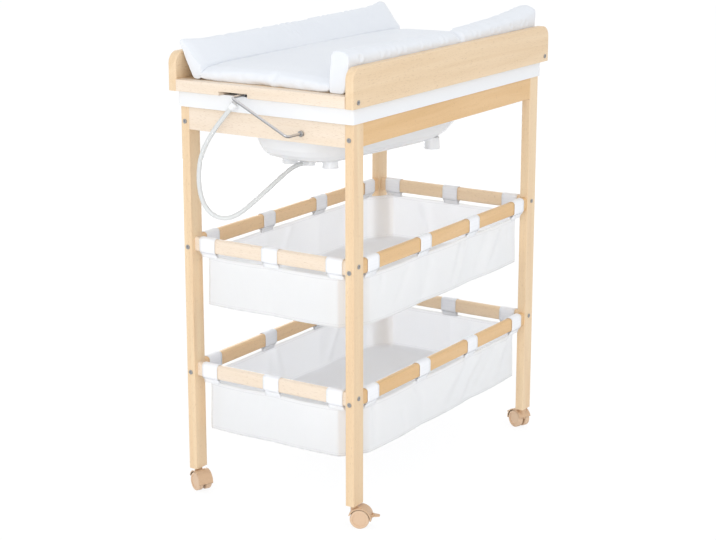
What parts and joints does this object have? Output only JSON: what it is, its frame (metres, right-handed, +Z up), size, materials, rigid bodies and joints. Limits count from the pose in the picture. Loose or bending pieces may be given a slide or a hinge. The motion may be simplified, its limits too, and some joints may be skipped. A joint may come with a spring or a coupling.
{
  "type": "changing table with bathtub",
  "caption": "Wooden changing table on swivel casters: a plastic bathtub under a padded tray that swings over the front on cranked steel stays, with hanging fabric baskets below.",
  "frame": {"origin": "on the floor under the middle of the table", "axes": "+X along the table away from the drain end, +Y to the back, +Z up; the tray swings towards -Y"},
  "size_m": [0.906, 0.5121, 1.0314],
  "materials": {
    "wood": "clear satin lacquer on pale beech",
    "bath_plastic": "white, softly shiny",
    "basket_cloth": "white plain weave",
    "pad_cover": "white coated cover",
    "hose": "milky, half clear",
    "stay_steel": "bright wire",
    "screw_steel": "zinc",
    "dark_plastic": "dark grey",
    "caster_plastic": "beige"
  },
  "bodies": {
    "frame": {"leg_front_left": "wood", "leg_front_right": "wood", "leg_back_left": "wood", "leg_back_right": "wood", "end_apron_left": "wood", "end_apron_right": "wood", "long_apron_front": "wood", "long_apron_back": "wood", "upper_rail_front": "wood", "upper_rail_back": "wood", "upper_rail_left": "wood", "upper_rail_right": "wood", "lower_rail_front": "wood", "lower_rail_back": "wood", "lower_rail_left": "wood", "lower_rail_right": "wood", "frame_screws": "screw_steel", "upper_basket": "basket_cloth", "lower_basket": "basket_cloth", "bathtub": "bath_plastic", "drain_fitting": "bath_plastic", "drain_plug": "bath_plastic", "drain_hose": "hose", "hose_clip": "bath_plastic", "pivot_bushes": "screw_steel", "caster_sockets": "screw_steel"},
    "stays": {"stay_rod_left": "stay_steel", "stay_rod_right": "stay_steel", "stay_caps": "dark_plastic"},
    "tray": {"side_board_front": "wood", "side_board_back": "wood", "tray_end_left": "wood", "tray_end_right": "wood", "tray_panel": "wood", "tray_screws": "screw_steel", "stay_saddles": "stay_steel", "changing_pad": "pad_cover"},
    "swivel_front_left": {"caster_hood_front_left": "caster_plastic", "caster_stem_front_left": "screw_steel", "caster_axle_front_left": "screw_steel"},
    "wheels_front_left": {"caster_wheels_front_left": "caster_plastic"},
    "lever_front_left": {"brake_lever_front_left": "caster_plastic"},
    "swivel_front_right": {"caster_hood_front_right": "caster_plastic", "caster_stem_front_right": "screw_steel", "caster_axle_front_right": "screw_steel"},
    "wheels_front_right": {"caster_wheels_front_right": "caster_plastic"},
    "lever_front_right": {"brake_lever_front_right": "caster_plastic"},
    "swivel_back_left": {"caster_hood_back_left": "caster_plastic", "caster_stem_back_left": "screw_steel", "caster_axle_back_left": "screw_steel"},
    "wheels_back_left": {"caster_wheels_back_left": "caster_plastic"},
    "swivel_back_right": {"caster_hood_back_right": "caster_plastic", "caster_stem_back_right": "screw_steel", "caster_axle_back_right": "screw_steel"},
    "wheels_back_right": {"caster_wheels_back_right": "caster_plastic"}
  },
  "joints": [
    {"name": "stay_swing", "type": "hinge", "parent": "frame", "child": "stays", "pos_m": [0, -0.093, 0.841], "axis": [1, 0, 0], "range_deg": [0, 180]},
    {"name": "tray_turn", "type": "hinge", "parent": "stays", "child": "tray", "pos_m": [0, 0.046, 0.91], "axis": [1, 0, 0], "range_deg": [-90, 0]},
    {"name": "swivel_front_left", "type": "hinge", "parent": "frame", "child": "swivel_front_left", "pos_m": [-0.379, -0.2095, 0.0405], "axis": [0, 0, 1], "continuous": true},
    {"name": "roll_front_left", "type": "hinge", "parent": "swivel_front_left", "child": "wheels_front_left", "pos_m": [-0.37371, -0.22138, 0.021], "axis": [0.9135, 0.4067, 0], "continuous": true},
    {"name": "brake_front_left", "type": "hinge", "parent": "swivel_front_left", "child": "lever_front_left", "pos_m": [-0.36241, -0.24677, 0.027], "axis": [0.9135, 0.4067, 0], "range_deg": [0, 25]},
    {"name": "swivel_front_right", "type": "hinge", "parent": "frame", "child": "swivel_front_right", "pos_m": [0.379, -0.2095, 0.0405], "axis": [0, 0, 1], "continuous": true},
    {"name": "roll_front_right", "type": "hinge", "parent": "swivel_front_right", "child": "wheels_front_right", "pos_m": [0.38408, -0.19753, 0.021], "axis": [-0.9205, 0.3907, 0], "continuous": true},
    {"name": "brake_front_right", "type": "hinge", "parent": "swivel_front_right", "child": "lever_front_right", "pos_m": [0.39494, -0.17194, 0.027], "axis": [-0.9205, 0.3907, 0], "range_deg": [0, 25]},
    {"name": "swivel_back_left", "type": "hinge", "parent": "frame", "child": "swivel_back_left", "pos_m": [-0.379, 0.2095, 0.0405], "axis": [0, 0, 1], "continuous": true},
    {"name": "roll_back_left", "type": "hinge", "parent": "swivel_back_left", "child": "wheels_back_left", "pos_m": [-0.3847, 0.19782, 0.021], "axis": [0.8988, -0.4384, 0], "continuous": true},
    {"name": "swivel_back_right", "type": "hinge", "parent": "frame", "child": "swivel_back_right", "pos_m": [0.379, 0.2095, 0.0405], "axis": [0, 0, 1], "continuous": true},
    {"name": "roll_back_right", "type": "hinge", "parent": "swivel_back_right", "child": "wheels_back_right", "pos_m": [0.38345, 0.22172, 0.021], "axis": [-0.9397, 0.342, 0], "continuous": true}
  ],
  "couplings": [
    {"joint": "tray_turn", "follows": "stay_swing", "ratio": -0.5}
  ]
}
